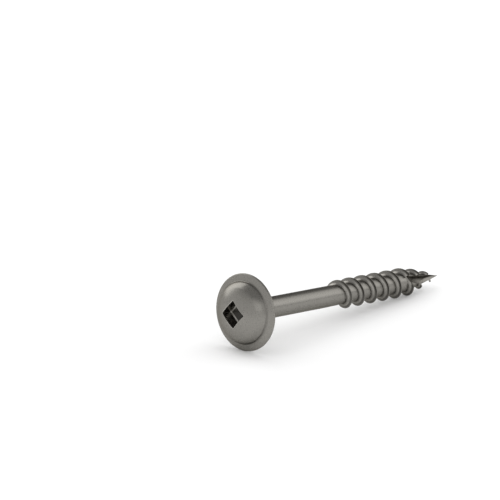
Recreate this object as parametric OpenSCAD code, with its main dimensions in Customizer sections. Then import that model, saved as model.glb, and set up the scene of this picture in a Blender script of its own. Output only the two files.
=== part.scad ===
// Washer head wood screw: square drive, coarse right-hand thread, fluted self-starting point.
// One cold-headed and thread-rolled piece. All sizes are millimetres.
// It lies on a level surface at z = 0, on the rim of its washer and on the thread,
// with its head toward -X and its point toward +X.
// Inside the modules the screw stands on its own axis: z = 0 is the bearing face
// under the head, the crown is on the -z side and the point on the +z side.

/* [Head] */
// Diameter of the washer that is forged on the head
head_d = 11; // [10:0.1:13]
// Height from the bearing face to the top of the crown
head_h = 3.15; // [2.8:0.05:3.6]
// Thickness of the washer at its rim
rim_h = 0.4; // [0.3:0.05:0.6]
// Thickness of the washer where the dome rises from it
washer_h = 0.7; // [0.6:0.05:1]
// Diameter of the dome at its foot
dome_d = 8.9; // [8.4:0.1:9.6]
// Radius of the shallow crown
crown_r = 6.5; // [6:0.5:12]
// Radius of the dome's shoulder
shoulder_r = 1.9; // [1.5:0.1:2.1]
// Radius of the fillet between the bearing face and the shank
neck_r = 1.3; // [0.6:0.1:1.8]

/* [Drive recess] */
// Width across the flats of the square recess
recess_w = 2.8; // [2.2:0.1:3.4]
// Depth of its straight walls below the top of the crown
recess_depth = 2; // [1.5:0.1:2.2]
// Depth of the cone that the punch leaves under them
recess_cone = 0.4; // [0.2:0.1:0.5]
// Turn of a corner of the square away from straight down
recess_turn = -5; // [-45:1:45]

/* [Shank] */
// Length from the bearing face to the point
length = 42.7; // [36:0.1:60]
// Diameter of the plain shank
shank_d = 3.05; // [2.9:0.05:3.4]
// Length from the bearing face to the start of the thread
plain_h = 18.2; // [12:0.1:24]
// Length of the slope from the shank down to the thread's core
step_h = 0.25; // [0.1:0.05:0.5]

/* [Thread] */
// Diameter over the thread's crest
thread_d = 4.35; // [3.9:0.05:4.8]
// Diameter of the core between the turns
core_d = 2.95; // [2.6:0.05:3]
// Distance between turns, 2.82 being nine to the inch
pitch = 2.82; // [2:0.02:3.4]
// Width of the crest
crest_w = 0.16; // [0.1:0.02:0.3]
// Width of the thread where it meets the core
base_w = 0.6; // [0.5:0.05:1]
// Turn of the thread's start away from straight down
thread_turn = 355; // [0:1:359]
// Share of a turn in which the thread rises from the shank
run_in = 0.55; // [0.3:0.05:1]

/* [Point] */
// Length over which the core tapers to the point
point_h = 8; // [6:0.5:12]
// Length at the point that the thread leaves bare
bare_tip = 1.1; // [0.9:0.1:2]
// Diameter of the blunt end of the point
tip_d = 0.12; // [0.1:0.02:0.3]
// Radius of the wheel that grinds the chip flute
wheel_r = 16.5; // [12:0.5:30]
// Distance from the point at which the wheel reaches the axis
wheel_h = 2; // [0.5:0.5:4]
// Angle between the flute's flat wall and its hollow wall
flute_angle = 75; // [60:5:90]
// Direction of the flute's flat wall, away from straight down
flute_turn = 220; // [0:1:359]

/* [Smoothness] */
// Segments of a full turn of the thread
thread_steps = 30; // [18:2:40]
// Segments of each arc in the turned outline
arc_steps = 10; // [6:1:16]

/* [Hidden] */
$fn = 64;
eps = 0.01;
steel = [0.5, 0.49, 0.465];

head_r = head_d / 2;
dome_r = dome_d / 2;
shank_r = shank_d / 2;
core_r = core_d / 2;
crest_r = thread_d / 2;
rim_r = rim_h / 2;
thread_depth = crest_r - core_r;
// The rim's arc ends at this angle, where the washer's slope up to the dome begins
rim_end = -75;
// The shoulder's arc touches the crown's arc from inside, at the angle crown_start
shoulder_x = dome_r - shoulder_r;
crown_start = asin(shoulder_x / (crown_r - shoulder_r)) - 90;
crown_z = crown_r - head_h;
shoulder_z = crown_z + (crown_r - shoulder_r) * sin(crown_start);
// The shoulder's arc starts at this angle, where it meets the washer
shoulder_start = -asin((shoulder_z + washer_h) / shoulder_r);
// Radius of the flat end of the recess's cone
cone_tip_r = 0.2;

// Number of steps that the thread takes from its start to its end
thread_count = floor((length - bare_tip - plain_h) / pitch * thread_steps);
// How deep the thread's foot sits inside the core, as a share of the core's radius
thread_foot = 0.8;
// Share of its full width that the thread has where it starts
start_width = 0.25;
// The flank is hollow: it narrows to this share of its width in this share of its height
flank_narrow = 0.62;
flank_low = 0.28;

// Height on the axis of each crest that faces straight down
low_crests = [
    for (k = [1 : floor((length - plain_h) / pitch)])
        plain_h + pitch * (k - thread_turn / 360)
];
// The screw tips until the first of those crests meets the surface that the rim stands on
tilt = min([for (z = low_crests) atan((head_r - crest_at(z)) / (z + rim_r))]);
lift = (head_r - rim_r) * cos(tilt) + rim_r * (1 - sin(tilt));
// Middle of the lying screw between its crown and its point
middle_x = ((length + crown_z) * cos(tilt) - crown_r) / 2;

// Points of an arc about [x, y], from one angle to another
function arc(x, y, r, from, to) = [
    for (i = [0 : arc_steps])
        let (a = from + (to - from) * i / arc_steps)
        [x + r * cos(a), y + r * sin(a)]
];

// Radius of the core, and of the crest, at a height on the axis
function core_at(z) =
    z < length - point_h ? core_r : max(core_r * (length - z) / point_h, tip_d / 2);
function crest_at(z) =
    core_at(z) + thread_depth * sqrt(min((length - z) / point_h, 1));

// Half of the head's outline, from the rim round the dome to the axis
function head_outline() = concat(
    arc(head_r - rim_r, -rim_r, rim_r, 90, rim_end),
    arc(shoulder_x, shoulder_z, shoulder_r, shoulder_start, crown_start),
    arc(0, crown_z, crown_r, crown_start, -90)
);

// Washer, dome, neck, shank and core in one turned outline
module blank() {
    rotate_extrude()
        polygon(concat(
            head_outline(),
            [[0, length]],
            [[tip_d / 2, length]],
            [[core_r, length - point_h]],
            [[core_r, plain_h + step_h]],
            [[shank_r, plain_h]],
            arc(shank_r + neck_r, neck_r, neck_r, 180, 270)
        ));
}

// Cross-section of the thread at one step, as radius and offset along the axis
function thread_section(i) =
    let (
        z = plain_h + pitch * i / thread_steps,
        grown = min(i / thread_steps / run_in, 1),
        core = core_at(z),
        foot = core * thread_foot,
        rise = max(crest_at(z) - core, 0) * grown,
        width = base_w * min(rise / thread_depth + start_width, 1) / 2
    ) [
        [foot, -width],
        [core + rise * flank_low, -width * flank_narrow],
        [core + rise, -crest_w / 2],
        [core + rise, crest_w / 2],
        [core + rise * flank_low, width * flank_narrow],
        [foot, width]
    ];

// The thread as one helical fin, its foot inside the core
module thread() {
    corners = len(thread_section(0));
    points = [
        for (i = [0 : thread_count])
            let (a = thread_turn + 360 * i / thread_steps, z = plain_h + pitch * i / thread_steps)
            for (p = thread_section(i)) [p[0] * cos(a), p[0] * sin(a), z + p[1]]
    ];
    last = thread_count * corners;
    sides = [
        for (i = [0 : thread_count - 1], c = [0 : corners - 1])
            let (
                a = i * corners + c,
                b = i * corners + (c + 1) % corners,
                d = a + corners,
                e = b + corners
            )
            each [[a, b, e], [a, e, d]]
    ];
    start_cap = [for (c = [1 : corners - 2]) [0, c + 1, c]];
    end_cap = [for (c = [1 : corners - 2]) [last, last + c, last + c + 1]];
    polyhedron(points, concat(sides, start_cap, end_cap), convexity = 10);
}

// The square hole that the driver fits, with the punch's cone at its bottom
module drive_recess() {
    rotate(recess_turn - 45)
        translate([-recess_w / 2, -recess_w / 2, -head_h - eps])
        cube([recess_w, recess_w, recess_depth + eps]);
    translate([0, 0, recess_depth - head_h - eps])
        cylinder(h = recess_cone + eps, r1 = recess_w / 2, r2 = cone_tip_r);
}

// The wheel that grinds the chip flute: its flat side passes through the axis,
// and its rim reaches the axis near the point and runs out towards the head
module flute_wheel() {
    width = thread_d;
    depth = 2 * thread_d;
    rotate(flute_turn)
        translate([wheel_r, 0, length - wheel_h])
        rotate([-90, 0, 0])
        rotate_extrude()
        polygon([
            [wheel_r - depth, 0],
            [wheel_r, 0],
            [wheel_r - width / tan(flute_angle), width],
            [wheel_r - depth, width]
        ]);
}

module screw() {
    color(steel)
        translate([-middle_x, 0, lift])
        rotate([0, 90 + tilt, 0])
        difference() {
            union() {
                blank();
                thread();
            }
            drive_recess();
            flute_wheel();
        }
}

screw();
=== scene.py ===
"""A washer head wood screw on a white table.

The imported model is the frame. This script adds the screw's finished surface and its coat, the table,
the room, the lamps and the camera.
"""
import math

import bmesh
import bpy
from mathutils import Matrix, Vector


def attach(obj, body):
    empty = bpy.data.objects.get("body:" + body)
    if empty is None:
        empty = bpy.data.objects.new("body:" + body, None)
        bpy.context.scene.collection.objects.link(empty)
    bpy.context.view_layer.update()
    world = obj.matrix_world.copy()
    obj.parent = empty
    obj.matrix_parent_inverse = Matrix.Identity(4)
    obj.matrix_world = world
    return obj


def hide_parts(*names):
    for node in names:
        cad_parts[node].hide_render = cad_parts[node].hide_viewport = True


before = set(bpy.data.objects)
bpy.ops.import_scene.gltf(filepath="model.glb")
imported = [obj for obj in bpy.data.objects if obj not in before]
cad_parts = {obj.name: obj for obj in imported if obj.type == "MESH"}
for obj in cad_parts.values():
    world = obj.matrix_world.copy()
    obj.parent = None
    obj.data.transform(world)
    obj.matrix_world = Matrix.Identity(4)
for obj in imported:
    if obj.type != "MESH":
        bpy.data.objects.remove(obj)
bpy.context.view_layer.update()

MM = 0.001

# Sizes in millimetres, the same as in the part's source
HEAD_R = 5.5
HEAD_H = 3.15
RIM_H = 0.4
WASHER_H = 0.7
DOME_R = 4.45
CROWN_R = 6.5
SHOULDER_R = 1.9
NECK_R = 1.3
RECESS_W = 2.8
RECESS_DEPTH = 2.0
RECESS_CONE = 0.4
RECESS_TURN = math.radians(-5)
LENGTH = 42.7
SHANK_R = 1.525
PLAIN_H = 18.2
STEP_H = 0.25
CREST_R = 2.175
CORE_R = 1.475
PITCH = 2.82
CREST_W = 0.16
THREAD_TURN = math.radians(355)
RUN_IN = 0.55
POINT_H = 8.0
BARE_TIP = 1.1
FLUTE_WHEEL_R = 16.5
FLUTE_LEVEL = 2.0

# Radii of edges that the source leaves sharp: at the dome's foot, and at the recess's upright corners,
# its floor and its mouth
FOOT_FILLET = 0.12
RECESS_CORNER = 0.12
RECESS_FILLET = 0.28
RECESS_FLARE = 0.1

# Not quite as in the source: the thread's width at its foot, how hollow its flanks are, the tip's radius
ROOT_W = 0.9
FLANK_HOLLOW = 2.2
TIP_R = 0.05
# The rounded crest, from its edge to its middle: shares of its width and of the thread's height
CREST_POINTS = [(1 / 2, 0.96), (1 / 3, 0.985), (1 / 7, 1.0)]
# Share of a turn in which the thread fades out at its end
RUN_OUT = 0.35
# Share of the thread's width that is left where it has no height
LEAST_WIDTH = 0.35
# Least distance between the thread's last root and the tip
TIP_GAP = 0.02
# The shank's last ring stands this far before the thread's first root
THREAD_LEAD = 0.6

# The chip flute is wider open and stands further round than in the source, and its inner corner
# lies off the axis, by this distance and in this direction
FLUTE_ANGLE = math.radians(85)
FLUTE_TURN = math.radians(228)
FLUTE_OFFSET = 0.16
FLUTE_OFFSET_TURN = math.radians(162)

# Painted shade, widths in millimetres: round the dome's foot, in a line along each side of
# the thread, and along the flute's inner corner
FOOT_SHADE_W = 0.22
ROOT_SHADE_AT = 0.42
ROOT_SHADE_W = 0.1
FLUTE_SHADE_W = 0.3
# Shares of the thread's height: where the painted shade of the flank begins and how soon it is full,
# and where the flank's painted highlight line and the crest's wear with its painted highlight are
FLANK_SHADE_FROM = 0.42
FLANK_SHADE_OVER = 0.15
FLANK_HIGHLIGHT_AT = 0.32
FLANK_HIGHLIGHT_W = 0.15
CREST_WEAR_AND_HIGHLIGHT_FROM = 0.9
# How strong the painted shade, the wear and the painted highlights are in each place
FLANK_SHADE = 1.5
RECESS_SHADE = 2.0
FLUTE_SHADE = 1.4
FLANK_HIGHLIGHT = 0.5
CREST_WEAR_AND_HIGHLIGHT = 0.4
MOUTH_HIGHLIGHT = 1.2
FLOOR_HIGHLIGHT = 1.8
# The side of the thread on which the painted shade is strongest, and how much it fades towards the far
# side
SHADED_SIDE_TURN = math.radians(300)
SHADED_SIDE_DEPTH = 0.35

# Steps of a full turn, of the arcs in the head's outline, of the thread's flank and root, of the
# recess's arcs and straight sides, and of the wheel that grinds the flute
COLUMNS = 128
CROWN_STEPS = 22
SHOULDER_STEPS = 18
FOOT_STEPS = 8
RIM_STEPS = 14
NECK_STEPS = 12
FLANK_STEPS = 12
ROOT_STEPS = 6
RECESS_ARC_STEPS = 6
RECESS_SIDE_STEPS = 10
WHEEL_STEPS = 360
# Distance in millimetres within which a point counts as lying on a surface
NEAR = 0.003
# No point of the recess is further from the axis, and none of the flute is further from the tip
RECESS_REACH = 2.2
FLUTE_REACH = 12.8
# Edges sharper than this stay sharp in the shading
SHARP_EDGE = math.radians(35)

# Colours of the coat's grain, of painted shade, and of worn steel that also gives painted highlights
COAT_DARK = (0.222, 0.214, 0.196, 1)
COAT_PALE = (0.268, 0.257, 0.236, 1)
PAINTED_SHADE_COLOUR = (0.07, 0.066, 0.06, 1)
WORN_STEEL_AND_HIGHLIGHT = (0.56, 0.54, 0.5, 1)
# The dull coat turns less bright at a glancing angle than bare metal does
GLANCING = (0.48, 0.47, 0.45, 1)
# How fine the coat's grain and its worn patches are
GRAIN_SCALE = 5000
PATCH_SCALE = 900

# The camera's place from the middle of the bearing face, in metres, and the way it looks
CAMERA_PLACE = Vector((-0.2964, -0.27063, 0.131639))
CAMERA_LOOK = Vector((0.7097, 0.6464, -0.2802))
CAMERA_LENS = 216.87

# How white the table is, and how much brighter it is where it is seen directly
TABLE_COLOUR = (0.85, 0.85, 0.85, 1)
TABLE_LIFT = 0.1

# The light that surfaces get from the room, level with the table and from straight above
ROOM_SIDES = 0.28
ROOM_TOP = 1.55
# The room as it is seen: its walls, its dimmer ceiling, and a dark corner behind the screw's point
WALL_LIGHT = 1.08
CEILING_LIGHT = 0.5
CEILING_FROM = math.radians(26)
CEILING_TO = math.radians(56)
CORNER = (0.849, 0.451, 0.276)
CORNER_LIGHT = 0.3
CORNER_OUTER = math.radians(32)
CORNER_INNER = math.radians(10)

# Name, place and size in metres, and power of each lamp
LAMPS = [
    ("key", (0.06, 0.73, 0.52), (0.8, 0.84), 3.1),
    ("fill", (-0.29, -0.42, 0.32), (0.55, 0.36), 0.22),
    ("side", (0.446, -0.18, 0.245), (0.5, 0.3), 0.34),
]

RIM_R = RIM_H / 2
CROWN_Z = CROWN_R - HEAD_H
RECESS_FLOOR_Z = RECESS_DEPTH - HEAD_H
THREAD_DEPTH = CREST_R - CORE_R
FLUTE_CORNER = FLUTE_OFFSET * Vector((math.cos(FLUTE_OFFSET_TURN), math.sin(FLUTE_OFFSET_TURN), 0))
FLUTE_SLOPE = 1 / math.tan(FLUTE_ANGLE)


def smooth(t):
    """Eases from 0 to 1."""
    t = min(max(t, 0.0), 1.0)
    return t * t * (3 - 2 * t)


def band(value, middle, reach):
    """1 in the middle of a band, falling to 0 at its reach."""
    return max(0.0, 1 - abs(value - middle) / reach)


def arc(x, y, r, start, end, steps):
    """Points of an arc about (x, y), between two angles in degrees."""
    angles = [math.radians(start + (end - start) * i / steps) for i in range(steps + 1)]
    return [(x + r * math.cos(a), y + r * math.sin(a)) for a in angles]


def core_at(z):
    """Radius of the shank or of the thread's core at a height on the axis."""
    if z < LENGTH - POINT_H:
        return SHANK_R + (CORE_R - SHANK_R) * smooth((z - PLAIN_H) / STEP_H)
    return max(CORE_R * (LENGTH - z) / POINT_H, TIP_R)


def taper_at(z):
    """Share of its full height that the thread has at a height on the axis."""
    return math.sqrt(min(max((LENGTH - z) / POINT_H, 0), 1))


def crown_at(x, y):
    """Height of the crown's surface on the axis's scale."""
    return CROWN_Z - math.sqrt(CROWN_R ** 2 - x * x - y * y)


def lying_place():
    """From the screw's own axis, point towards +Z, to where it lies: on its rim and on a crest.

    The screw tips until the first crest that faces straight down meets the table.
    """
    turns = int((LENGTH - PLAIN_H) / PITCH)
    low_crests = [PLAIN_H + PITCH * (k - THREAD_TURN / (2 * math.pi)) for k in range(1, turns + 1)]
    tilts = []
    for z in low_crests:
        crest = core_at(z) + THREAD_DEPTH * taper_at(z)
        tilts.append(math.atan((HEAD_R - crest) / (z + RIM_R)))
    tilt = min(tilts)
    lift = (HEAD_R - RIM_R) * math.cos(tilt) + RIM_R * (1 - math.sin(tilt))
    middle_x = ((LENGTH + CROWN_Z) * math.cos(tilt) - CROWN_R) / 2
    place = Matrix.Translation((-middle_x * MM, 0, lift * MM))
    return place @ Matrix.Rotation(math.pi / 2 + tilt, 4, "Y") @ Matrix.Scale(MM, 4)


def head_profile():
    """The head's outline as (radius, height), from the pole of the crown to the end of the neck."""
    shoulder_x = DOME_R - SHOULDER_R
    turn = math.degrees(math.asin(shoulder_x / (CROWN_R - SHOULDER_R)))
    shoulder_z = CROWN_Z - (CROWN_R - SHOULDER_R) * math.cos(math.radians(turn))
    foot = math.degrees(math.asin((shoulder_z + WASHER_H + FOOT_FILLET) / -SHOULDER_R))
    crown = arc(0, CROWN_Z, CROWN_R, -90, turn - 90, CROWN_STEPS)[1:]
    shoulder = arc(shoulder_x, shoulder_z, SHOULDER_R, turn - 90, foot, SHOULDER_STEPS)[1:]
    # The foot of the dome runs into the washer's slope in a small hollow
    slope = (WASHER_H - RIM_H) / (HEAD_R - RIM_R - DOME_R)
    start = shoulder[-1]
    corner = (DOME_R, -WASHER_H)
    end = (DOME_R + FOOT_FILLET, -WASHER_H + slope * FOOT_FILLET)
    hollow = []
    for i in range(1, FOOT_STEPS + 1):
        t = i / FOOT_STEPS
        ways = zip(start, corner, end)
        hollow.append(tuple(a * (1 - t) ** 2 + 2 * b * t * (1 - t) + c * t ** 2 for a, b, c in ways))
    top = [(r, -WASHER_H + slope * (r - DOME_R)) for r in (end[0] + 0.15, end[0] + 0.35)]
    rim = arc(HEAD_R - RIM_R, -RIM_R, RIM_R, -75, 90, RIM_STEPS)
    under = [(r, 0.0) for r in (4.9, 4.4, 3.9, 3.4)]
    neck = arc(SHANK_R + NECK_R, NECK_R, NECK_R, 270, 180, NECK_STEPS)
    return crown + shoulder + hollow + top + rim + under + neck


def thread_outline():
    """One turn, from the middle of one root to the next: offsets along the axis and shares of height."""
    rise = [i / FLANK_STEPS for i in range(FLANK_STEPS)]
    widths = [CREST_W + (ROOT_W - CREST_W) * (1 - h) ** FLANK_HOLLOW for h in rise]
    edge = CREST_POINTS[0][1]
    left = [(-w / 2, h * edge) for w, h in zip(widths, rise)]
    left += [(-CREST_W * share, h) for share, h in CREST_POINTS]
    section = left + [(-s, h) for s, h in reversed(left)]
    gap = (PITCH - ROOT_W) / 2
    roots = [-PITCH / 2 + gap * i / ROOT_STEPS for i in range(ROOT_STEPS)]
    return [(s, 0.0) for s in roots] + section + [(-s, 0.0) for s in reversed(roots)]


def bridge(bm, low, high):
    """Faces between two closed rings of points."""
    count = len(low)
    for i in range(count):
        j = (i + 1) % count
        bm.faces.new((low[i], low[j], high[j], high[i]))


def add_head(bm, flank):
    """The turned head, neck and plain shank. Returns the shank's last ring."""
    profile = head_profile()
    for z in (PLAIN_H * 0.5, PLAIN_H * 0.8, PLAIN_H - PITCH / 2 - THREAD_LEAD):
        profile.append((SHANK_R, z))
    pole = bm.verts.new((0, 0, -HEAD_H))
    rings = []
    for r, z in profile:
        # Painted shade in the crease round the dome's foot
        foot_shade = band(math.hypot(r - DOME_R, z + WASHER_H), 0, FOOT_SHADE_W)
        ring = []
        for i in range(COLUMNS):
            a = THREAD_TURN + 2 * math.pi * i / COLUMNS
            vert = bm.verts.new((r * math.cos(a), r * math.sin(a), z))
            vert[flank] = foot_shade
            ring.append(vert)
        rings.append(ring)
    for i in range(COLUMNS):
        bm.faces.new((pole, rings[0][(i + 1) % COLUMNS], rings[0][i]))
    for low, high in zip(rings, rings[1:]):
        bridge(bm, low, high)
    return rings[-1]


def add_thread(bm, flank, wear_and_highlight):
    """The thread with the core between its turns, one row of points at each step of the helix."""
    outline = thread_outline()
    last = len(outline) - 1
    stations = int((LENGTH - BARE_TIP - PLAIN_H) / PITCH * COLUMNS)
    grid = []
    for i in range(stations + 1):
        a = THREAD_TURN + 2 * math.pi * i / COLUMNS
        middle = PLAIN_H + PITCH * i / COLUMNS
        taper = taper_at(middle)
        grown = smooth(i / COLUMNS / RUN_IN) * smooth((stations - i) / COLUMNS / RUN_OUT)
        # Painted shade, strongest on one side of the screw
        shaded_side = 1 - SHADED_SIDE_DEPTH + SHADED_SIDE_DEPTH * math.cos(a - SHADED_SIDE_TURN)
        row = []
        for k, (s, h) in enumerate(outline):
            # A row starts on the point that ended the row of the turn before
            if k == 0 and i >= COLUMNS:
                row.append(grid[i - COLUMNS][last])
                continue
            offset = s if h == 0 else s * (LEAST_WIDTH + (1 - LEAST_WIDTH) * taper)
            z = min(middle + offset, LENGTH - TIP_GAP)
            r = core_at(z) + THREAD_DEPTH * taper * h * grown
            vert = bm.verts.new((r * math.cos(a), r * math.sin(a), z))
            # Painted shade at the root and on the outer flank; painted highlights on the flank and the
            # worn crest
            root_shade = band(abs(s), ROOT_SHADE_AT, ROOT_SHADE_W)
            flank_coat = FLANK_SHADE * smooth((h - FLANK_SHADE_FROM) / FLANK_SHADE_OVER)
            vert[flank] = (root_shade + flank_coat) * shaded_side * grown
            crest_wear_and_highlight = CREST_WEAR_AND_HIGHLIGHT * smooth((h - CREST_WEAR_AND_HIGHLIGHT_FROM) / (1 - CREST_WEAR_AND_HIGHLIGHT_FROM))
            vert[wear_and_highlight] = (crest_wear_and_highlight + FLANK_HIGHLIGHT * band(h, FLANK_HIGHLIGHT_AT, FLANK_HIGHLIGHT_W)) * grown
            row.append(vert)
        grid.append(row)
    for i in range(stations):
        for k in range(last):
            bm.faces.new((grid[i][k], grid[i + 1][k], grid[i + 1][k + 1], grid[i][k + 1]))
    return grid


def screw_mesh():
    """The screw as one closed surface, before the recess and the flute are cut."""
    bm = bmesh.new()
    # Per point: how much shade is painted, and how much wear and painted highlight
    flank = bm.verts.layers.float.new("flank")
    wear_and_highlight = bm.verts.layers.float.new("wear_and_highlight")
    shank = add_head(bm, flank)
    grid = add_thread(bm, flank, wear_and_highlight)

    # From the last ring of the shank to the spiral edge on which the thread starts
    for i in range(COLUMNS - 1):
        bm.faces.new((shank[i], shank[i + 1], grid[i + 1][0], grid[i][0]))
    apex = grid[COLUMNS - 1][0]
    bm.faces.new((shank[-1], shank[0], apex))
    seam = [shank[0]] + grid[0]
    for a, b in zip(seam, seam[1:]):
        bm.faces.new((a, b, apex))

    # From the spiral edge on which it ends to the tip
    tip = bm.verts.new((0, 0, LENGTH))
    for low, high in zip(grid[-COLUMNS - 1:], grid[-COLUMNS:]):
        bm.faces.new((low[-1], high[-1], tip))
    for a, b in zip(grid[-1], grid[-1][1:]):
        bm.faces.new((b, a, tip))
    return bm


def recess_outline(out, inset=0.0):
    """The recess's rounded square, widened by out or narrowed by inset on every side."""
    side = RECESS_W / 2 - inset - RECESS_CORNER
    radius = RECESS_CORNER + out
    points = []
    for quarter in range(4):
        middle = math.radians(45 + 90 * quarter)
        x = math.sqrt(2) * side * math.cos(middle)
        y = math.sqrt(2) * side * math.sin(middle)
        for i in range(RECESS_ARC_STEPS + 1):
            a = middle + math.radians(-45 + 90 * i / RECESS_ARC_STEPS)
            points.append((x + radius * math.cos(a), y + radius * math.sin(a)))
    outline = []
    for (x0, y0), (x1, y1) in zip(points, points[1:] + points[:1]):
        straight = math.hypot(x1 - x0, y1 - y0) > RECESS_W / 5
        n = RECESS_SIDE_STEPS if straight else 1
        outline += [(x0 + (x1 - x0) * i / n, y0 + (y1 - y0) * i / n) for i in range(n)]
    return outline


def recess_cutter():
    """The punch that forms the recess: a rounded square, flared at the mouth, with a shallow point."""
    bm = bmesh.new()
    turns = [math.radians(90 * i / RECESS_ARC_STEPS) for i in range(RECESS_ARC_STEPS + 1)]
    levels = []
    for a in turns:
        z = RECESS_FLOOR_Z - RECESS_FILLET * (1 - math.cos(a))
        inset = RECESS_FILLET * (1 - math.sin(a))
        levels.append([(x, y, z) for x, y in recess_outline(0.0, inset)])
    levels.append([(x, y, RECESS_FLOOR_Z - 0.6) for x, y in recess_outline(0.0)])
    for a in turns:
        down = RECESS_FLARE * (1 - math.sin(a))
        out = RECESS_FLARE * (1 - math.cos(a))
        levels.append([(x, y, crown_at(x, y) + down) for x, y in recess_outline(out)])
    levels.append([(x, y, crown_at(x, y) - 0.5) for x, y in recess_outline(RECESS_FLARE + 0.02)])
    rings = [[bm.verts.new(point) for point in level] for level in levels]
    for low, high in zip(rings, rings[1:]):
        bridge(bm, low, high)
    apex = bm.verts.new((0, 0, RECESS_FLOOR_Z + RECESS_CONE))
    floor_ring = rings[0]
    for a, b in zip(floor_ring, floor_ring[1:] + floor_ring[:1]):
        bm.faces.new((a, apex, b))
    bm.faces.new(rings[-1])
    turn = Matrix.Rotation(RECESS_TURN - math.pi / 4, 3, "Z")
    bmesh.ops.rotate(bm, verts=bm.verts, cent=(0, 0, 0), matrix=turn)
    return bm


def flute_cutter():
    """The wheel that grinds the chip flute.

    Its flat side and its slanting rim meet in the flute's inner corner, where the rim has more rows
    for the painted shade to fade over.
    """
    bm = bmesh.new()
    depth = 2.5 * CREST_R
    width = 1.5 * CREST_R
    rim = [(FLUTE_WHEEL_R, 0)]
    rim += [(FLUTE_WHEEL_R - y * FLUTE_SLOPE, y) for y in (0.12, 0.25, 0.4, width)]
    rim += [(FLUTE_WHEEL_R - depth, width), (FLUTE_WHEEL_R - depth, 0)]
    rings = []
    for i in range(WHEEL_STEPS):
        a = 2 * math.pi * i / WHEEL_STEPS
        ring = []
        for r, y in rim:
            x = FLUTE_WHEEL_R - r * math.cos(a)
            z = LENGTH - FLUTE_LEVEL + r * math.sin(a)
            ring.append(bm.verts.new((x, y, z)))
        rings.append(ring)
    for low, high in zip(rings, rings[1:] + rings[:1]):
        bridge(bm, low, high)
    turn = Matrix.Rotation(FLUTE_TURN, 3, "Z")
    bmesh.ops.rotate(bm, verts=bm.verts, cent=(0, 0, 0), matrix=turn)
    bmesh.ops.translate(bm, verts=bm.verts, vec=FLUTE_CORNER)
    return bm


def finish_object(bm, name):
    """An object of the mesh, with its faces turned outwards."""
    mesh = bpy.data.meshes.new(name)
    bmesh.ops.recalc_face_normals(bm, faces=bm.faces)
    bm.to_mesh(mesh)
    bm.free()
    obj = bpy.data.objects.new(name, mesh)
    bpy.context.scene.collection.objects.link(obj)
    return obj


def cut(obj, cutter):
    """Takes the cutter's volume out of the object."""
    change = obj.modifiers.new("cut", "BOOLEAN")
    change.operation = "DIFFERENCE"
    change.solver = "EXACT"
    change.object = cutter
    graph = bpy.context.evaluated_depsgraph_get()
    mesh = bpy.data.meshes.new_from_object(obj.evaluated_get(graph))
    obj.modifiers.clear()
    obj.data = mesh
    bpy.data.objects.remove(cutter)


def paint_recess_shade_and_highlights(mesh):
    """Painted shade on the recess's floor, and painted highlights along the edges round the floor and
    round the mouth.
    """
    flank = mesh.attributes["flank"].data
    wear_and_highlight = mesh.attributes["wear_and_highlight"].data
    for vert in mesh.vertices:
        x, y, z = vert.co
        if math.hypot(x, y) > RECESS_REACH or z > 0:
            continue
        deep = z - crown_at(x, y)
        if deep < NEAR:
            continue
        # Painted highlight round the mouth's edge
        wear_and_highlight[vert.index].value = MOUTH_HIGHLIGHT * band(deep, 0, RECESS_FLARE)
        # 0 where the walls run into the fillet along the floor, 1 and more on the floor
        level = (z - RECESS_FLOOR_Z) / RECESS_FILLET + 1
        # Painted shade on the floor, and a painted highlight line in the fillet along it
        if level > 0.999:
            flank[vert.index].value = RECESS_SHADE
        elif level > 0.5:
            wear_and_highlight[vert.index].value = FLOOR_HIGHLIGHT * math.sin(3 * math.acos(level))


def paint_flute_shade(mesh):
    """Painted shade along the flute's inner corner."""
    flank = mesh.attributes["flank"].data
    turn_back = Matrix.Rotation(-FLUTE_TURN, 3, "Z")
    for vert in mesh.vertices:
        if vert.co.z < LENGTH - FLUTE_REACH:
            continue
        x, y, z = turn_back @ (vert.co - FLUTE_CORNER)
        reach = math.hypot(FLUTE_WHEEL_R - x, z - LENGTH + FLUTE_LEVEL)
        on_rim = abs(reach - FLUTE_WHEEL_R + y * FLUTE_SLOPE) < NEAR
        if on_rim and -NEAR < y < FLUTE_SHADE_W:
            flank[vert.index].value = FLUTE_SHADE * (1 - max(y, 0) / FLUTE_SHADE_W)


def node(tree, kind, inputs=None, **settings):
    """A shader node with its settings. An input is given a value, or the output that feeds it."""
    made = tree.nodes.new("ShaderNode" + kind)
    for name, value in settings.items():
        setattr(made, name, value)
    for name, value in (inputs or {}).items():
        if isinstance(value, bpy.types.NodeSocket):
            tree.links.new(value, made.inputs[name])
        else:
            made.inputs[name].default_value = value
    return made


def new_material(name):
    """A material with an empty node tree."""
    material = bpy.data.materials.new(name)
    material.use_nodes = True
    material.node_tree.nodes.clear()
    return material, material.node_tree


def seen_directly(tree):
    """1 for what is seen, also in a reflection or through a clear thing, and 0 for all other light."""
    path = node(tree, "LightPath").outputs
    rays = {0: path["Is Camera Ray"], 1: path["Is Glossy Ray"]}
    seen = node(tree, "Math", rays, operation="MAXIMUM").outputs["Value"]
    rays = {0: seen, 1: path["Is Transmission Ray"]}
    return node(tree, "Math", rays, operation="MAXIMUM").outputs["Value"]


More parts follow.
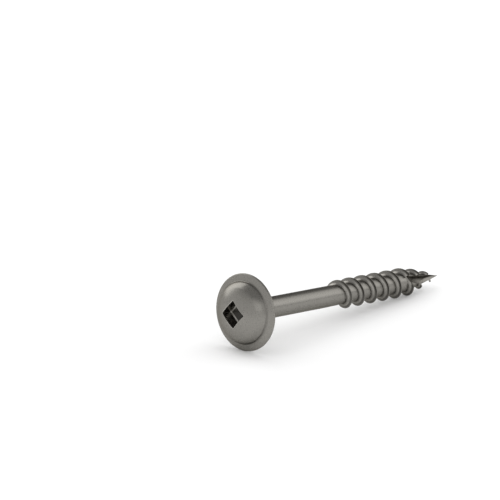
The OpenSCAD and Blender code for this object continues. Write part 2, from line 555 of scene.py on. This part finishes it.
def steel_finish():
    """A fine-grained coat, darkened by painted shade, and brightened in patches by wear and by painted
    highlights.
    """
    material, tree = new_material("coated_steel_finish")
    spot = node(tree, "TexCoord").outputs["Object"]
    grain = node(tree, "TexNoise", {"Vector": spot, "Scale": GRAIN_SCALE, "Detail": 4}).outputs["Fac"]
    tone = node(tree, "ValToRGB", {"Fac": grain})
    for stop, position, colour in zip(tone.color_ramp.elements, (0.3, 0.7), (COAT_DARK, COAT_PALE)):
        stop.position = position
        stop.color = colour

    # Painted shade: the colour darkens towards a near black
    shade_amount = node(tree, "Attribute", attribute_name="flank").outputs["Fac"]
    shade = node(tree, "MapRange", {"Value": shade_amount, "From Max": RECESS_SHADE, "To Max": 0.9})
    colours = {"Factor": shade.outputs["Result"], "A": tone.outputs["Color"], "B": PAINTED_SHADE_COLOUR}
    darker = node(tree, "Mix", colours, data_type="RGBA")

    # Wear and painted highlights: brighter, less metallic colour
    wear_and_highlight = node(tree, "Attribute", attribute_name="wear_and_highlight").outputs["Fac"]
    patches = node(tree, "TexNoise", {"Vector": spot, "Scale": PATCH_SCALE, "Detail": 3}).outputs["Fac"]
    wear_and_highlight_amount = node(tree, "Math", {0: wear_and_highlight, 1: patches}, operation="MULTIPLY").outputs["Value"]
    colours = {"Factor": wear_and_highlight_amount, "A": darker.outputs["Result"], "B": WORN_STEEL_AND_HIGHLIGHT}
    brighter = node(tree, "Mix", colours, data_type="RGBA")

    metal = node(tree, "MapRange", {"Value": wear_and_highlight_amount, "To Min": 1.0, "To Max": 0.3})
    rough = node(tree, "MapRange", {"Value": grain, "To Min": 0.22, "To Max": 0.36})
    bump = node(tree, "Bump", {"Strength": 0.05, "Distance": 0.00002, "Height": grain})
    shader = node(tree, "BsdfPrincipled", {
        "Base Color": brighter.outputs["Result"],
        "Metallic": metal.outputs["Result"],
        "Roughness": rough.outputs["Result"],
        "Normal": bump.outputs["Normal"],
        "Specular Tint": GLANCING,
    })
    node(tree, "OutputMaterial", {"Surface": shader.outputs["BSDF"]})
    return material


def table_finish():
    """White paint, a little brighter where it is seen directly, so that only the shadow shows on it."""
    material, tree = new_material("white_table")
    paint = node(tree, "BsdfDiffuse", {"Color": TABLE_COLOUR})
    lift = node(tree, "Math", {0: seen_directly(tree), 1: TABLE_LIFT}, operation="MULTIPLY")
    glow = node(tree, "Emission", {"Strength": lift.outputs["Value"]})
    both = node(tree, "AddShader", {0: paint.outputs["BSDF"], 1: glow.outputs["Emission"]})
    node(tree, "OutputMaterial", {"Surface": both.outputs["Shader"]})
    return material


def light_room():
    """The room: its backdrop where it is seen directly, and light that grows towards the zenith."""
    world = bpy.context.scene.world or bpy.data.worlds.new("world")
    bpy.context.scene.world = world
    world.use_nodes = True
    tree = world.node_tree
    tree.nodes.clear()
    direction = node(tree, "TexCoord").outputs["Generated"]
    height = node(tree, "SeparateXYZ", {"Vector": direction}).outputs["Z"]
    above = node(tree, "MapRange", {"Value": height, "To Min": ROOM_SIDES, "To Max": ROOM_TOP})
    light = node(tree, "Background", {"Strength": above.outputs["Result"]})

    ceiling = node(tree, "MapRange", {
        "Value": height,
        "From Min": math.sin(CEILING_FROM),
        "From Max": math.sin(CEILING_TO),
        "To Min": WALL_LIGHT,
        "To Max": CEILING_LIGHT,
    }, interpolation_type="SMOOTHSTEP")
    toward = node(tree, "VectorMath", {0: direction, 1: CORNER}, operation="DOT_PRODUCT")
    corner = node(tree, "MapRange", {
        "Value": toward.outputs["Value"],
        "From Min": math.cos(CORNER_OUTER),
        "From Max": math.cos(CORNER_INNER),
        "To Min": 1.0,
        "To Max": CORNER_LIGHT,
    }, interpolation_type="SMOOTHSTEP")
    strengths = {0: ceiling.outputs["Result"], 1: corner.outputs["Result"]}
    both = node(tree, "Math", strengths, operation="MULTIPLY")
    backdrop = node(tree, "Background", {"Strength": both.outputs["Value"]})

    pick = node(tree, "MixShader", {
        "Fac": seen_directly(tree),
        1: light.outputs["Background"],
        2: backdrop.outputs["Background"],
    })
    node(tree, "OutputWorld", {"Surface": pick.outputs["Shader"]})


def lamp(name, place, size, power):
    """A rectangular lamp, aimed at the middle of the scene."""
    light = bpy.data.lights.new(name, "AREA")
    light.shape = "RECTANGLE"
    light.size, light.size_y = size
    light.energy = power
    obj = bpy.data.objects.new(name, light)
    bpy.context.scene.collection.objects.link(obj)
    obj.location = place
    obj.rotation_euler = (-Vector(place)).to_track_quat("-Z", "Y").to_euler()


# The screw
lie = lying_place()
screw = finish_object(screw_mesh(), "screw_body")
cut(screw, finish_object(recess_cutter(), "recess_cutter"))
cut(screw, finish_object(flute_cutter(), "flute_cutter"))
paint_recess_shade_and_highlights(screw.data)
paint_flute_shade(screw.data)
screw.data.transform(lie)
screw.data.shade_smooth()
screw.data.set_sharp_from_angle(angle=SHARP_EDGE)
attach(screw, "root")
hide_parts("screw")
screw.data.materials.append(steel_finish())

# The camera stands where the photograph was taken from
camera = bpy.data.objects.new("camera", bpy.data.cameras.new("camera"))
bpy.context.scene.collection.objects.link(camera)
camera.location = Vector((lie.translation.x, 0, 0)) + CAMERA_PLACE
camera.rotation_euler = CAMERA_LOOK.to_track_quat("-Z", "Y").to_euler()
camera.data.sensor_width = 36
camera.data.lens = CAMERA_LENS
camera.data.clip_start = 0.01
bpy.context.scene.camera = camera

# The table
bpy.ops.mesh.primitive_plane_add(size=3, location=(0, 0, 0))
floor = bpy.context.object
floor.name = "floor"
floor.data.materials.append(table_finish())

# The light
light_room()
for name, place, size, power in LAMPS:
    lamp(name, place, size, power)

bpy.context.scene.view_settings.view_transform = "Standard"
